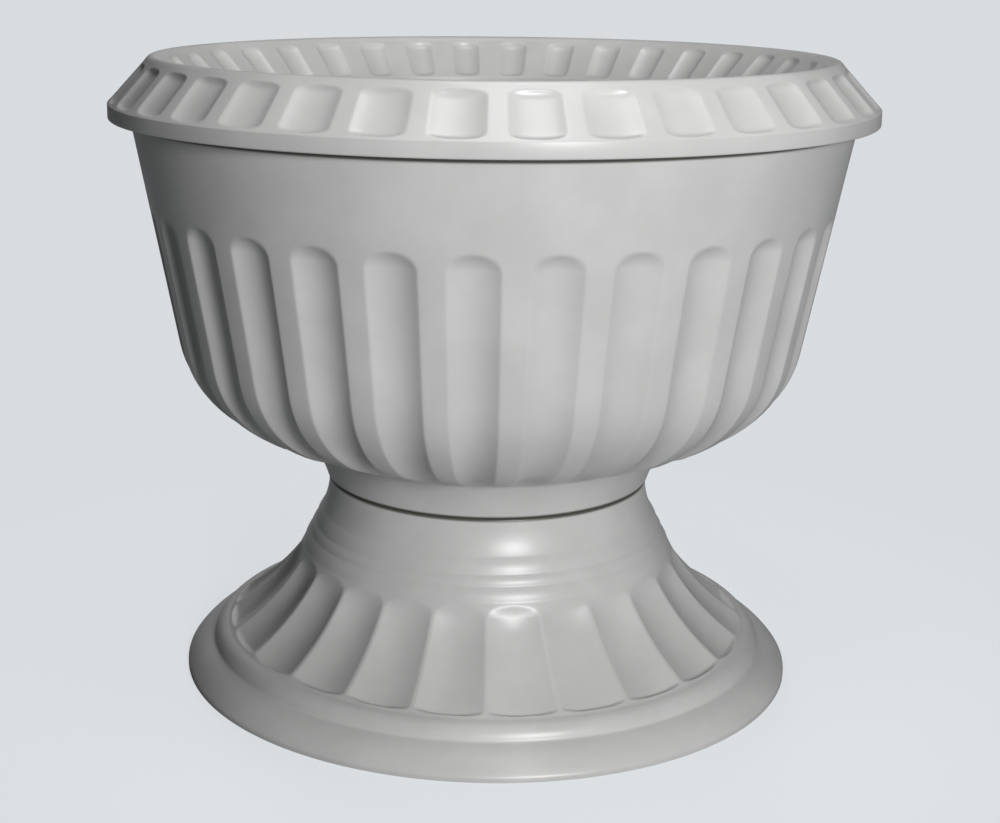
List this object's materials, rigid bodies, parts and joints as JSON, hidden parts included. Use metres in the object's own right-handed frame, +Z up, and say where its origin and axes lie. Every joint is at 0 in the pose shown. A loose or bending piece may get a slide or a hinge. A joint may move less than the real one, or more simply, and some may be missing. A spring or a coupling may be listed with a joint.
{
  "type": "urn planter",
  "caption": "Free-standing moulded urn planter: fluted bowl on a flared, scalloped pedestal, with a panelled clip-on rim crown and a pull-out drain plug.",
  "frame": {"origin": "centre of the foot, on the floor", "axes": "+Z up along the turning axis, -Y to the front"},
  "size_m": [0.42, 0.42, 0.348],
  "materials": {
    "urn_plastic": "satin-gloss injection-moulded polypropylene, light warm grey",
    "plug_plastic": "soft moulded polyethylene, natural grey"
  },
  "bodies": {
    "pedestal": {"pedestal": "urn_plastic"},
    "bowl": {"bowl": "urn_plastic"},
    "rim_ring": {"rim_ring": "urn_plastic"},
    "drain_plug": {"drain_plug": "plug_plastic"}
  },
  "joints": [
    {"name": "bowl_lift", "type": "slide", "parent": "pedestal", "child": "bowl", "axis": [0, 0, 1], "range_m": [0, 0.06]},
    {"name": "rim_lift", "type": "slide", "parent": "bowl", "child": "rim_ring", "axis": [0, 0, 1], "range_m": [0, 0.05]},
    {"name": "plug_pull", "type": "slide", "parent": "bowl", "child": "drain_plug", "axis": [0, 0, -1], "range_m": [0, 0.03]}
  ]
}
